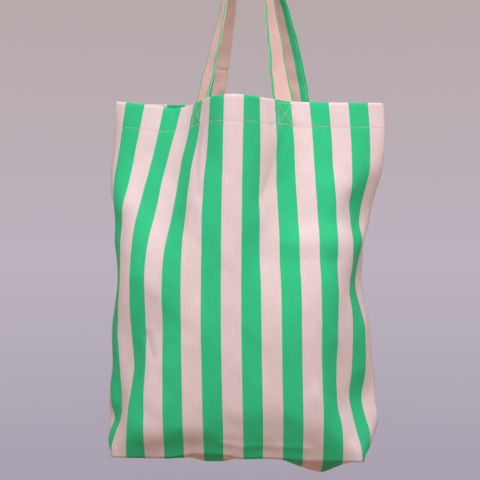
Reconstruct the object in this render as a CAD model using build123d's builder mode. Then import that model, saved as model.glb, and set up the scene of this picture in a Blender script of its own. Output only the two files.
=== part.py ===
"""Striped canvas tote bag with a boxed base and two strap handles, hanging from a hook.

Millimetres. X runs to the right along the bag's front, Y runs away from its front and Z is up.
The origin is the hook's axis, at the top of the two handle loops.
"""

import math
import os
from bisect import bisect_right

from build123d import *

os.makedirs("parts", exist_ok=True)

# Cut sizes of the cloth
panel_width = 410.0
wall_height = 455.0
base_depth = 90.0
cloth_thickness = 0.9
corner_softness = 20.0

# Hem
hem_depth = 34.0
hem_stitch_depth = 31.0

# Straps
strap_width = 30.0
strap_thickness = 2.4
strap_spacing = 150.0
strap_end_depth = 29.0
strap_root_length = 60.0
handle_drop = 250.0

# Hook that the loops hang on
hook_radius = 6.0
loop_gap = 3.0

# Sewing
thread_width = 0.8
thread_height = 0.5
box_stitch_width = 22.0
box_stitch_margin = 3.0
strap_stitch_margin = 3.0
seam_allowance = 7.0
seam_thickness = 1.6

# Clearances
layer_gap = 0.4
thread_gap = 0.3
thread_run_gap = 0.6
seam_gap = 0.8
root_gap = 0.2
base_wall_lean = 1.5
seam_reach = 6.0

# Shares of the wall's height, down from the hem's edge, where the middle and the back are set
level_shares = [0.0, 0.22, 0.43, 0.64, 0.82, 0.93, 1.0]
level_depths = [share * wall_height for share in level_shares]

# Middle of the front at each height
middle_x = [-13.0, -15.0, -16.0, -16.0, -15.0, -14.0, -14.0]
middle_y = [-95.0, -92.0, -90.0, -90.0, -84.0, -70.0, -55.0]

# Places across a panel, as shares of its half width from the middle: seams and stripe middles
places = [-1, -0.96, -0.87, -0.75, -0.62, -0.5, -0.38, -0.26, -0.14, -0.015]
places += [0.11, 0.23, 0.35, 0.47, 0.6, 0.72, 0.84, 0.955, 1]

# Shares of the wall's height where the folds of the front are set
turn_shares = [0.0, 0.1, 0.19, 0.235, 0.285, 0.34, 0.395, 0.445]
turn_shares += [0.5, 0.64, 0.745, 0.845, 0.895, 0.935, 0.963, 1.0]
turn_depths = [share * wall_height for share in turn_shares]

# Degrees by which the front turns away from the viewer at each place, one row for each height
front_turns = [
    [-30, -15, 0, 0, -17, -50, -63, -70, -49, 0, 46, 37, 41, 10, 9, 0, 5, 5, 55],
    [-70, -45, -16, -2, -31, -39, -56, -59, -45, 0, 36, 34, 31, 13, 12, 9, 14, 12, 58],
    [-75, -60, -18, -18, -34, -29, -57, -42, -38, 0, 31, 37, 21, 3, 16, 9, 22, 25, 60],
    [-80, -70, -28, -24, -30, -23, -57, -40, -28, 0, 34, 33, 14, 0, 9, 23, 42, 30, 62],
    [-86, -80, -56, -20, -24, -22, -53, -38, -18, 0, 36, 22, 13, 0, 6, 50, 46, 30, 66],
    [-88, -82, -62, -41, -21, -21, -44, -32, -13, 0, 33, 15, 12, 0, 15, 42, 65, 32, 70],
    [-88, -82, -65, -48, -30, -21, -35, -15, -13, 0, 36, 0, 0, 0, 21, 32, 61, 52, 76],
    [-88, -84, -76, -46, -41, -20, -24, -8, -12, 0, 33, 0, 0, 0, 21, 31, 77, 62, 80],
    [-88, -84, -82, -50, -36, -24, -16, -4, -12, 0, 22, 0, 0, 0, 25, 46, 79, 60, 80],
    [-88, -80, -71, -33, -44, -23, -21, -12, -12, 0, 10, 0, 0, 11, 35, 31, 46, 68, 75],
    [-88, -80, -60, -28, -61, -19, -16, 0, -17, 0, 11, 0, 0, 9, 46, 32, 37, 55, 65],
    [-85, -60, -46, -63, -37, -10, -14, 0, -15, 0, 13, 0, 0, 0, 38, 41, 46, 12, 55],
    [-85, -50, -65, -60, -26, -8, -10, 0, -14, 0, 14, 0, 0, 0, 15, 39, 47, 30, 65],
    [-88, -80, -66, -53, -17, 0, 0, 0, -20, 0, 16, 0, 0, 0, 0, 28, 43, 75, 86],
    [-88, -84, -78, -36, -13, 0, -12, -6, -24, 0, 14, 0, 0, 0, 0, 12, 62, 88, 88],
]

# How the back's turn is shared out across its hem, and lower down from its middle to a seam
back_hem_places = [-1, -0.87, -0.75, -0.62, -0.5, -0.38, -0.26, -0.14, 0]
back_hem_places += [0.14, 0.26, 0.38, 0.5, 0.62, 0.75, 0.87, 1]
back_hem_shares = [0.6, 0.4, 0.2, 0.2, 0.2, 0.3, 0.8, 0.8, 0]
back_hem_shares += [-0.8, -0.8, -0.4, -0.4, -0.6, -0.75, -0.9, -1.1]
back_body_places = [0, 0.14, 0.26, 0.38, 0.5, 0.62, 0.75, 0.87, 1]
back_body_shares = [0, 0.02, 0.05, 0.11, 0.2, 0.33, 0.5, 0.72, 1]

FRONT = -1
BACK = 1
LEFT = -1
RIGHT = 1

# Degrees by which each strap turns from the viewer once it is clear of the hem
strap_turns = {(FRONT, LEFT): -61, (FRONT, RIGHT): 33, (BACK, LEFT): 15, (BACK, RIGHT): -20}

half_width = panel_width / 2
hem_z = -handle_drop
base_z = hem_z - wall_height
span_count = 32
steps_per_span = 6
narrow_spans = 6
hem_spans = 4
seam_spans = 22
base_spans = 4
side_names = {FRONT: "front", BACK: "back"}
hand_names = {LEFT: "left", RIGHT: "right"}


def between(xs, ys, x):
    """Straight-line value at x of the points xs, ys."""
    i = min(max(bisect_right(xs, x) - 1, 0), len(xs) - 2)
    share = (x - xs[i]) / (xs[i + 1] - xs[i])
    return ys[i] + (ys[i + 1] - ys[i]) * share


def base_turn(s):
    """Turn of the front around the boxed base, in degrees."""
    corner = half_width - base_depth / 2
    share = (abs(s) - corner) / corner_softness + 0.5
    return math.copysign(90.0, s) * min(max(share, 0.0), 1.0)


def front_turn(s, depth):
    """Turn of the front, in degrees, at s across the panel and depth below the hem."""
    rows = [between(places, row, s / half_width) for row in front_turns]
    return between(turn_depths, rows + [base_turn(s)], depth)


def back_share(s, depth):
    """Share of the back's turn at s across the panel."""
    hem = between(back_hem_places, back_hem_shares, s / half_width)
    body = math.copysign(between(back_body_places, back_body_shares, abs(s) / half_width), -s)
    base = -base_turn(s) / 90.0
    rows = [hem, (hem + body) / 2, body, body, body, (body + base) / 2, base]
    return between(level_depths, rows, depth)


step_count = span_count * steps_per_span
step_places = [-half_width + panel_width * i / step_count for i in range(step_count + 1)]
half_span = steps_per_span // 2
span_marks = list(range(steps_per_span, step_count, steps_per_span))
span_marks = [0, half_span] + span_marks + [step_count - half_span, step_count]
span_places = [step_places[i] for i in span_marks]


def run(turns):
    """Points x, y and turn at each step along cloth, from 0, 0, with its turn at each step."""
    step = panel_width / step_count
    spots = [(0.0, 0.0, turns[0])]
    for before, after in zip(turns, turns[1:]):
        x, y, _ = spots[-1]
        angle = math.radians((before + after) / 2)
        spots.append((x + math.cos(angle) * step, y + math.sin(angle) * step, after))
    return spots


def front_run(depth):
    """Front section at a depth, from the left seam to the right seam."""
    spots = run([front_turn(s, depth) for s in step_places])
    middle = spots[step_count // 2]
    shift_x = between(level_depths, middle_x, depth) - middle[0]
    shift_y = between(level_depths, middle_y, depth) - middle[1]
    return [(x + shift_x, y + shift_y, turn) for x, y, turn in spots]


def back_run(depth):
    """Back section at a depth: as long as the front's, between the same two seams."""
    start, end = section_at(FRONT, depth)[0], section_at(FRONT, depth)[-1]
    chord = math.hypot(end[0] - start[0], end[1] - start[1])
    shares = [back_share(s, depth) for s in step_places]
    low, high = 0.0, 170.0
    for _ in range(30):
        most = (low + high) / 2
        spots = run([most * share for share in shares])
        if math.hypot(spots[-1][0], spots[-1][1]) > chord:
            low = most
        else:
            high = most
    lean = math.atan2(end[1] - start[1], end[0] - start[0])
    lean -= math.atan2(spots[-1][1], spots[-1][0])
    turned = []
    for x, y, turn in spots:
        place_x = start[0] + x * math.cos(lean) - y * math.sin(lean)
        place_y = start[1] + x * math.sin(lean) + y * math.cos(lean)
        turned.append((place_x, place_y, turn + math.degrees(lean)))
    return turned


sections = {}


def section_at(side, depth):
    """Section of one side of the bag, worked out once for each depth."""
    key = (side, round(depth, 6))
    if key not in sections:
        sections[key] = front_run(depth) if side == FRONT else back_run(depth)
    return sections[key]


def spot(side, depth, s, inset):
    """Point at s across a panel, inset into the bag from the cloth's outer face, and its turn."""
    spots = section_at(side, depth)
    x, y, turn = [between(step_places, [p[k] for p in spots], s) for k in range(3)]
    angle = math.radians(turn)
    return Vector(x + side * math.sin(angle) * inset, y - side * math.cos(angle) * inset), turn


def end_spot(side, depth, hand, inset):
    """Corner of a full-width layer at one side seam, just clear of the other side's."""
    x, y, _ = section_at(side, depth)[0 if hand == LEFT else -1]
    return Vector(x - hand * inset, y + side * seam_gap / 2)


def layer(side, depths, outer, inner, left=None, right=None):
    """Thin lofted sheet between two insets: full width, or from left to right at each depth."""
    with BuildPart() as sheet:
        for i, depth in enumerate(depths):
            rows = []
            for inset in (outer, inner):
                if left is None:
                    row = [spot(side, depth, s, inset)[0] for s in span_places[1:-1]]
                    row.insert(0, end_spot(side, depth, LEFT, inset))
                    row.append(end_spot(side, depth, RIGHT, inset))
                else:
                    step = (right[i] - left[i]) / narrow_spans
                    marks = [left[i] + k * step for k in range(narrow_spans + 1)]
                    row = [spot(side, depth, s, inset)[0] for s in marks]
                rows.append(row)
            with BuildSketch(Plane.XY.offset(hem_z - depth)):
                with BuildLine():
                    Spline(*rows[0])
                    Line(rows[0][-1], rows[1][-1])
                    Spline(*reversed(rows[1]))
                    Line(rows[1][0], rows[0][0])
                make_face()
        loft(ruled=True)
    return sheet.part


def keep(part, name):
    """Labels a piece and writes its file."""
    part.label = name
    export_step(part, f"parts/{name}.step")


hem_depths = [hem_depth * k / hem_spans for k in range(hem_spans + 1)]
seam_top = hem_depth + seam_allowance
seam_step = (level_depths[-2] - seam_top) / seam_spans
seam_depths = [seam_top + k * seam_step for k in range(seam_spans + 1)]
base_step = (wall_height - level_depths[-2]) / base_spans
lowest_depths = [level_depths[-2] + k * base_step for k in range(1, base_spans + 1)]
wall_depths = hem_depths + seam_depths + lowest_depths
facing_inset = cloth_thickness + layer_gap
strap_inset = facing_inset + cloth_thickness + layer_gap
thread_inset = -thread_gap - thread_height

# Panels, each a wall and its half of the boxed base
for side, side_name in side_names.items():
    lowest = section_at(side, wall_height)
    rim = [Vector(lowest[i][0], lowest[i][1]) for i in span_marks]
    rim[0] = end_spot(side, wall_height, LEFT, 0.0)
    rim[-1] = end_spot(side, wall_height, RIGHT, 0.0)
    with BuildPart() as panel:
        add(layer(side, wall_depths, 0.0, cloth_thickness))
        with BuildSketch(Plane.XY.offset(base_z)):
            with BuildLine():
                Spline(*rim)
                Line(rim[-1], rim[0])
            make_face()
        extrude(amount=-cloth_thickness)
    keep(panel.part, f"{side_name}_panel")

# Turned hem inside the mouth and its row of stitches
hem_row = [hem_stitch_depth - thread_width / 2, hem_stitch_depth + thread_width / 2]
for side, side_name in side_names.items():
    facing = layer(side, hem_depths, facing_inset, facing_inset + cloth_thickness)
    keep(facing, f"{side_name}_hem_facing")
    keep(layer(side, hem_row, thread_inset, -thread_gap), f"{side_name}_hem_stitching")

# Sewn ends of the straps, inside the hem, and the crossed boxes that hold them
end_depths = [root_gap, strap_end_depth / 2, strap_end_depth]
box_top = box_stitch_margin
box_bottom = hem_stitch_depth - box_stitch_margin
box_middle = (box_top + box_bottom) / 2
inner_top = box_top + thread_width + thread_run_gap
inner_bottom = box_bottom - thread_width - thread_run_gap
inner_half = box_stitch_width / 2 - thread_width - thread_run_gap
for side, side_name in side_names.items():
    for hand, hand_name in hand_names.items():
        middle = hand * strap_spacing / 2
        edges = [middle - strap_width / 2] * 3, [middle + strap_width / 2] * 3
        end = layer(side, end_depths, strap_inset, strap_inset + strap_thickness, *edges)
        keep(end, f"{side_name}_{hand_name}_strap_end")

        runs = []
        half = box_stitch_width / 2
        for low in (box_top, box_bottom - thread_width):
            row = [low, low + thread_width]
            runs.append((row, [middle - half] * 2, [middle + half] * 2))
        for edge in (middle - half, middle + half - thread_width):
            column = [inner_top, box_middle, inner_bottom]
            runs.append((column, [edge] * 3, [edge + thread_width] * 3))
        for start, stop in ((inner_top, -thread_run_gap), (inner_bottom, thread_run_gap)):
            for lean in (LEFT, RIGHT):
                far = middle + lean * (inner_half - thread_width)
                near = middle + lean * (thread_run_gap + thread_width) / 2
                slant = sorted([(start, far), (box_middle + stop, near)])
                depths = [depth for depth, _ in slant]
                lefts = [s - thread_width / 2 for _, s in slant]
                rights = [s + thread_width / 2 for _, s in slant]
                runs.append((depths, lefts, rights))
        with BuildPart() as crossed_box:
            for depths, lefts, rights in runs:
                add(layer(side, depths, thread_inset, -thread_gap, lefts, rights))
        keep(crossed_box.part, f"{side_name}_{hand_name}_box_stitch")

# Overlocked seam allowances inside the bag
def seam_middle(hand, depth, away):
    """Point halfway between front and back, a distance away from a side seam along the cloth."""
    s = hand * (half_width - away)
    return (spot(FRONT, depth, s, 0.0)[0] + spot(BACK, depth, s, 0.0)[0]) / 2


def seam_place(hand, depth):
    """Middle of a side seam's allowance at a depth, and the way it points into the bag."""
    near = seam_middle(hand, depth, seam_reach)
    inward = (seam_middle(hand, depth, seam_reach + seam_allowance) - near).normalized()
    place = near + inward * (cloth_thickness + layer_gap + seam_allowance / 2)
    return place, math.degrees(math.atan2(inward.Y, inward.X))


for hand, hand_name in hand_names.items():
    with BuildPart() as side_seam:
        for depth in seam_depths:
            place, inward = seam_place(hand, depth)
            with BuildSketch(Plane.XY.offset(hem_z - depth)):
                with Locations(Location((place.X, place.Y, 0), (0, 0, inward))):
                    Rectangle(seam_allowance, seam_thickness)
        loft(ruled=True)
    keep(side_seam.part, f"{hand_name}_side_overlock")

base_left = section_at(FRONT, wall_height)[0]
base_right = section_at(FRONT, wall_height)[-1]
corner_inset = cloth_thickness + layer_gap + base_wall_lean
corner_length = base_depth - 2 * corner_softness
on_base = (Align.CENTER, Align.CENTER, Align.MIN)
for hand, hand_name in hand_names.items():
    x, y, _ = base_left if hand == LEFT else base_right
    with BuildPart() as corner_seam:
        with Locations((x - hand * (corner_inset + seam_allowance / 2), y, base_z + layer_gap)):
            Box(seam_allowance, corner_length, seam_thickness, align=on_base)
    keep(corner_seam.part, f"{hand_name}_corner_overlock")

base_inset = corner_inset + seam_allowance + layer_gap
base_seam_x = (base_left[0] + base_right[0]) / 2
base_seam_y = (base_left[1] + base_right[1]) / 2
base_seam_length = base_right[0] - base_left[0] - 2 * base_inset
with BuildPart() as base_seam:
    with Locations((base_seam_x, base_seam_y, base_z + layer_gap)):
        Box(base_seam_length, seam_allowance, seam_thickness, align=on_base)
keep(base_seam.part, "base_overlock")

# Handles: each strap leaves the hem, twists a quarter turn and goes over the hook
loop_radius = hook_radius + strap_thickness / 2


def leg(side, hand):
    """Foot and top of a strap's leg, the foot's turn, and the leg's lean at the loop."""
    foot, turn = spot(side, 0.0, hand * strap_spacing / 2, strap_inset + strap_thickness / 2)
    lean = 0.0
    for _ in range(20):
        rise = handle_drop + loop_radius * math.sin(lean)
        lean = math.atan2(abs(foot.X) - loop_radius * math.cos(lean), rise)
    top_x = hand * loop_radius * math.cos(lean)
    top_y = side * (strap_width + loop_gap) / 2
    top = Vector(top_x, top_y, loop_radius * math.sin(lean))
    return Vector(foot.X, foot.Y, hem_z), top, turn, lean


def leg_plane(side, hand, share):
    """Plane across a leg at a share of the way up, with the strap's width along its X."""
    foot, top, turn, lean = leg(side, hand)
    along = (top - foot).normalized()
    if share == 0.0:
        along = Vector(0, 0, 1)
    if share == 1.0:
        along = Vector(-hand * math.sin(lean), 0, math.cos(lean))
    settled = strap_root_length / 2 / handle_drop
    twist = between([0.0, settled, 1.0], [turn, strap_turns[side, hand], -side * hand * 90.0], share)
    across = Vector(math.cos(math.radians(twist)), math.sin(math.radians(twist)), 0)
    return Plane(foot + (top - foot) * share, x_dir=across, z_dir=along)


def strap_run(side, hand, shares, width, height, x, y):
    """Piece of a leg, or of a row of thread on it, through planes at the given shares."""
    with BuildPart() as piece:
        for share in shares:
            with BuildSketch(leg_plane(side, hand, share)):
                with Locations((x, y)):
                    Rectangle(width, height)
        loft()
    return piece.part


def strap_loop(side, width, height, x, y):
    """Two legs and the arch over the hook, for the strap or a row of thread on it."""
    turned = 180.0 - math.degrees(leg(side, LEFT)[3] + leg(side, RIGHT)[3])
    with BuildPart() as loop:
        for hand in hand_names:
            root_share = (strap_root_length + root_gap) / handle_drop
            step = (1.0 - root_share) / 5
            shares = [root_share + k * step for k in range(5)] + [1.0]
            row_x = x if hand == LEFT else -x
            add(strap_run(side, hand, shares, width, height, row_x, y))
        with BuildSketch(leg_plane(side, LEFT, 1.0)):
            with Locations((x, y)):
                Rectangle(width, height)
        revolve(axis=Axis((0, 0, 0), (0, 1, 0)), revolution_arc=turned)
    return loop.part


for side, side_name in side_names.items():
    root_share = strap_root_length / handle_drop
    with BuildPart() as roots:
        for hand in hand_names:
            shares = [0.0, root_share / 2, root_share]
            add(strap_run(side, hand, shares, strap_width, strap_thickness, 0.0, 0.0))
    keep(roots.part, f"{side_name}_strap_roots")

    keep(strap_loop(side, strap_width, strap_thickness, 0.0, 0.0), f"{side_name}_handle")

    row_y = side * (strap_thickness / 2 + thread_gap + thread_height / 2)
    row_x = strap_width / 2 - strap_stitch_margin
    with BuildPart() as strap_rows:
        for x in (-row_x, row_x):
            add(strap_loop(side, thread_width, thread_height, x, row_y))
    keep(strap_rows.part, f"{side_name}_handle_stitching")
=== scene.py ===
"""Striped canvas tote bag that hangs by its two strap handles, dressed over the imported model.

Lengths are millimetres until a mesh is made. Across a panel, s runs from its left seam to its right
seam with 0 in the middle, and depth runs down from the hem's edge.
"""

import math

import bpy
import numpy as np
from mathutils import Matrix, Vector


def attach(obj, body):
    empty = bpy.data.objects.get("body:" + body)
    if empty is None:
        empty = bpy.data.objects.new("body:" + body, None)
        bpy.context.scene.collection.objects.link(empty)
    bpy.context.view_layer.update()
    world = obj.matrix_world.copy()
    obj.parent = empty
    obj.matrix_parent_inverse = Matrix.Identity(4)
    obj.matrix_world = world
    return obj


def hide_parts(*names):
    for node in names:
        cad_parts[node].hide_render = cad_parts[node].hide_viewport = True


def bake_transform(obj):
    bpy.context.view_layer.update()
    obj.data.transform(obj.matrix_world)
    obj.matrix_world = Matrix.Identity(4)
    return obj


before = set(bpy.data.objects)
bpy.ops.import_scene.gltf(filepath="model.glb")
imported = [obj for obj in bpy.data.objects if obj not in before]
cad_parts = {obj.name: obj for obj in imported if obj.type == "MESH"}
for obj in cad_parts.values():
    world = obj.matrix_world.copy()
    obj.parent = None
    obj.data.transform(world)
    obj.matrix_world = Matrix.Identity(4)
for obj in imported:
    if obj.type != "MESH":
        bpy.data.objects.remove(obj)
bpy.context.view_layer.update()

# Cut sizes of the cloth
PANEL_WIDTH = 410.0
WALL_HEIGHT = 455.0
BASE_DEPTH = 90.0
HALF = PANEL_WIDTH / 2
CORNER = HALF - BASE_DEPTH / 2
CORNER_SOFTNESS = 14.0
CLOTH = 0.8
HEM_DEPTH = 34.0
HEM_PLY_INSET = 1.9
HEM_ROW_STEP = 3.0
STRIPE = 25.0
STRIPE_SHIFT = -3.0

# Straps and the hook that they hang on
STRAP_WIDTH = 30.0
STRAP_THICKNESS = 2.4
STRAP_SPACING = 150.0
STRAP_END_DEPTH = 29.0
STRAP_INSET = 3.8
STRAP_ROOT = 60.0
STRAP_EASE = 30.0
HANDLE_DROP = 250.0
HOOK_RADIUS = 6.0
LOOP_GAP = 3.0
LOOP_RADIUS = HOOK_RADIUS + STRAP_THICKNESS / 2
STRAP_SETTLED = STRAP_ROOT / 2 / HANDLE_DROP
STRAP_EDGE_ROUND = 1.0

# Ripples of a strap: height, mm along and across it for each radian, and whether the sides differ
STRAP_RIPPLES = [(0.45, 9.0, 11.0, 0), (0.3, 5.3, -7.0, 1)]
RIPPLES_FROM = (4.0, 40.0)
RIPPLES_UNTIL = (HANDLE_DROP - 60.0, HANDLE_DROP - 20.0)

# Crease across the back strap's left leg
CREASED_LEG_HEIGHT = 54.0
CREASED_LEG_DEPTH = 0.9
CREASED_LEG_SLANT = 1 / 12
CREASED_LEG_WIDTH = 2.0

# Sewing
HEM_STITCH_DEPTH = 31.0
STITCH = 3.4
THREAD = 0.32
BOX_WIDTH = 22.0
BOX_MARGIN = 3.0
BOX_FOOT = 1.0
STRAP_STITCH_MARGIN = 3.0
GROOVE_DEPTH = 0.3
GROOVE_WIDTH = 1.2
STITCH_SPAN = np.linspace(0.06, 0.94, 5)
STITCH_ARCH = np.array([-0.5, 0.35, 0.5, 0.35, -0.5]) * THREAD
STITCH_TAPER = np.array([0.5, 0.95, 1.0, 0.95, 0.5]) * THREAD
SEAM_ALLOWANCE = 7.0
SEAM_THICKNESS = 1.5
SEAM_BEVEL = 0.4
SEAM_REACH = 6.0
SEAM_ROW_INSET = 1.2
HEM_ROW_END = 1.0
OVERLOCK_STEP = 2.8
SIDE_SEAM_GAP = 0.4
SIDE_SEAM_FOOT = 0.93
CORNER_SEAM_GAP = 2.3
CORNER_SEAM_SHORT = 40.0
CORNER_SEAM_LIFT = 1.5
BASE_SEAM_GAP = 10.0
BASE_SEAM_LIFT = 1.6

# Half of an overlock loop: mm in from the allowance's middle, and height in half thicknesses
OVERLOCK_LOOP = [(-SEAM_ROW_INSET, 0.95), (1.0, 1.05), (SEAM_ALLOWANCE / 2 - 0.3, 0.9)]
OVERLOCK_TURN = (SEAM_ALLOWANCE / 2 + 0.2, 0.0)

# Rolled edge of the hem: share of the ply's inset, lift, and place along the cloth
HEM_EDGE = [(0.85, 0.25, -0.3), (0.5, 0.7, 0.0), (0.15, 0.25, 0.3)]

# Heights and sides
MM = 0.001
HEM_Z = -HANDLE_DROP
BASE_Z = HEM_Z - WALL_HEIGHT
FRONT, BACK = -1, 1
LEFT, RIGHT = -1, 1
SIDES = {FRONT: "front", BACK: "back"}
HANDS = {LEFT: "left", RIGHT: "right"}

# Degrees by which each strap turns from the viewer once it is clear of the hem
STRAP_TURNS = {(FRONT, LEFT): -60, (FRONT, RIGHT): 41, (BACK, LEFT): 15, (BACK, RIGHT): -20}

# How far each strap bows to the right between the hem and the hook
STRAP_BOWS = {(FRONT, LEFT): 2.5, (FRONT, RIGHT): 3.0, (BACK, LEFT): 1.0, (BACK, RIGHT): 8.0}

# Hanging shape: heights where the middle of the front and the back are set, as depths below the hem
LEVELS = np.array([0.0, 0.22, 0.43, 0.64, 0.82, 0.93, 1.0]) * WALL_HEIGHT
MIDDLE_X = [-13.5, -15.6, -16.8, -16.8, -15.4, -14.5, -14.4]
MIDDLE_Y = [-95.0, -92.0, -91.0, -91.0, -86.5, -80.0, -71.0]

# Degrees that the front turns away from the viewer, at its seams and the middle of each stripe
PLACES = np.array([
    -1, -0.96, -0.87, -0.75, -0.62, -0.5, -0.38, -0.26, -0.14, -0.015,
    0.11, 0.23, 0.35, 0.47, 0.6, 0.72, 0.84, 0.955, 1,
]) * HALF
TURN_LEVELS = np.array([
    0.0, 0.1, 0.19, 0.235, 0.285, 0.34, 0.395, 0.445,
    0.5, 0.64, 0.745, 0.845, 0.895, 0.935, 0.963, 1.0,
]) * WALL_HEIGHT
TURN_SOFTNESS = 2.0
FRONT_TURNS = [
    [-30, -15, 0, 0, -17, -50, -63, -70, -49, 0, 46, 37, 41, 10, 6, 0, 0, 0, 22],
    [-70, -45, -16, -2, -31, -39, -56, -59, -45, 0, 36, 34, 31, 13, 10, 6, 8, 6, 34],
    [-75, -60, -18, -18, -34, -29, -57, -42, -38, 0, 31, 37, 21, 3, 16, 9, 22, 25, 60],
    [-80, -70, -28, -24, -30, -23, -57, -40, -28, 0, 34, 33, 14, 0, 9, 23, 42, 30, 62],
    [-86, -80, -56, -20, -24, -22, -53, -38, -18, 0, 36, 22, 13, 0, 6, 50, 46, 30, 66],
    [-88, -82, -62, -41, -21, -21, -44, -32, -13, 0, 33, 15, 12, 0, 15, 42, 65, 32, 70],
    [-88, -82, -65, -48, -30, -21, -35, -15, -13, 0, 36, 0, 0, 0, 21, 32, 58, 80, 86],
    [-88, -84, -76, -46, -41, -20, -24, -8, -12, 0, 33, 0, 0, 0, 21, 31, 80, 62, 66],
    [-88, -84, -82, -50, -36, -24, -16, -4, -12, 0, 22, 0, 0, 0, 25, 44, 82, 54, 62],
    [-88, -80, -71, -33, -44, -23, -21, -12, -6, 0, 8, 0, 0, 11, 35, 31, 46, 68, 75],
    [-88, -86, -58, -28, -66, -17, -16, 0, -12, 0, 10, 0, 0, 9, 46, 32, 37, 55, 65],
    [-88, -84, -24, -80, -33, -10, -12, 0, -8, 0, 8, 0, 0, 0, 43, 48, 54, 10, 28],
    [-85, -50, -66, -72, -24, -8, -8, 0, -8, 0, 8, 0, 0, 0, 22, 46, 53, 22, 50],
    [-88, -80, -66, -53, -18, -5, -6, -4, -10, 0, 10, 0, 0, 0, 4, 36, 46, 66, 84],
    [-88, -84, -78, -36, -15, -4, -7, -6, -12, 0, 10, 0, 0, 0, 0, 14, 60, 86, 88],
]

# The same at the last level, the base's crease
BASE_TURNS = [0, 0, 0, -14, -13, -9, -8, -6, -10, 0, 8, 0, 0, 0, 0, 0, 0, 0, 0]

# Turns of the back as shares of its fullest: along the hem, and below it from the middle outwards
BACK_HEM_PLACES = [
    -1, -0.87, -0.75, -0.62, -0.5, -0.38, -0.26, -0.14, 0,
    0.14, 0.26, 0.38, 0.5, 0.62, 0.75, 0.87, 1,
]
BACK_HEM = [
    0.6, 0.4, 0.2, 0.2, 0.2, 0.3, 0.8, 0.8, 0,
    -0.8, -0.8, -0.4, -0.4, -0.6, -0.75, -0.9, -1.1,
]
BACK_BODY_PLACES = [0, 0.14, 0.26, 0.38, 0.5, 0.62, 0.75, 0.87, 1]
BACK_BODY = [0, 0.02, 0.05, 0.11, 0.2, 0.33, 0.5, 0.72, 1]
BACK_MOST_TURN = 170.0

# Small folds on the hanging shape: from and to as s and depth, rise, and half width
FOLDS = {
    FRONT: [
        (76, 34, 38, 125, -1.1, 5),
        (62, 4, 60, 44, -0.6, 2.5),
        (52, 2, 55, 60, -0.6, 3),
        (44, 6, 46, 50, 0.5, 3),
        (30, 10, 34, 130, -0.6, 4),
        (-60, 4, -58, 70, -0.6, 2.5),
        (-53, 20, -48, 110, 0.6, 3),
        (-64, 37, -52, 38, -0.5, 1.8),
        (-62, 45, -50, 47, 0.4, 2),
        (-88, 8, -98, 16, -0.4, 2.5),
        (62, 12, 50, 20, -0.5, 2),
        (62, 27, 50, 36, -0.5, 2.2),
        (88, 10, 99, 17, -0.4, 2.5),
        (88, 30, 100, 42, -0.4, 2.5),
        (92, 36, 108, 110, -0.9, 8),
        (-70, 36, -46, 120, -1.0, 7),
        (-92, 36, -112, 130, -0.9, 8),
        (-130, 236, -70, 290, -1.1, 13),
        (-118, 262, -60, 306, 0.7, 12),
        (-114, 296, -106, 322, -1.8, 6),
        (130, 205, 152, 245, -1.8, 9),
        (-20, 437, 90, 438, 1.2, 4),
        (-110, 398, 60, 412, -1.2, 13),
        (100, 372, 140, 412, 1.4, 9),
    ],
    BACK: [
        (-76, 34, -30, 130, -1.5, 8),
        (76, 34, 40, 140, -1.4, 8),
        (-120, 240, -20, 300, -1.8, 14),
        (110, 190, 60, 260, -1.6, 12),
        (-60, 380, 90, 400, -1.4, 14),
    ],
}

# Gentle waves, held back near the hem, and where folds and waves die out towards base and seams
WAVE_LENGTHS = [120, 88, 66, 50, 38, 29, 22]
WAVE_SLOPE = 0.004
WAVE_HEADING = 55
WAVES_AT_HEM = 0.25
WAVES_FREE = (25, 80)
FLAT_ABOVE_BASE = 25
FLAT_BY_SEAM = 16
STITCH_DENT = 0.4
STITCH_DENT_WIDTH = 1.6

# Depth along the front where the wall starts to lean in towards the base, and that lean
LEAN_FROM = (
    [-205, -150, -130, -90, -40, 0, 40, 75, 105, 130, 150, 205],
    [455, 440, 430, 418, 405, 396, 384, 392, 405, 420, 440, 455],
)
LEAN = 0.15
LEAN_SOFTNESS = 9.0
LEAN_BY_SEAM = 30
LEAN_STARTS = (250, 330)

# Rise of the hem's edge and of the base's creases along a panel, and how far down and up they reach
HEM_RISE = {
    FRONT: ([-205, -178, -153, -128, -100, -75, 0, 75, 205], [6, 3, 0, -5, -3, 0, 0, -1.5, -2]),
    BACK: ([-205, -150, -110, -85, 0, 75, 205], [6, 5, 6, 1, 0, 0, -2]),
}
CREASE_RISE = {
    FRONT: (
        [-205, -160, -85, -66, -55, -40, -25, -6, 8, 40, 90, 205],
        [0, 2, 3, 6, 9, 8, 8.5, 7, 3, 3, 0, 0],
    ),
    BACK: ([-205, -100, 100, 205], [0, 3, 2, 0]),
}
HEM_RISE_REACH = 70
CREASE_RISE_REACH = 60

# Sag of the base: all along, a shallow dip left of the middle, and a peak on the right
SAG_MIDDLE = -14.0
SAG_HALF_LENGTH = 162.0
SAG_DEPTH = 4.5
DIP_X = -42.0
DIP_DEPTH = 5.0
DIP_HALF_WIDTH = 24.0
PEAK_X = 97.0
PEAK_DEPTH = 21.0
PEAK_HALF_WIDTH = 50.0
PEAK_ROUND = 5.0
PEAK_SHARE = 1.1

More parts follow.
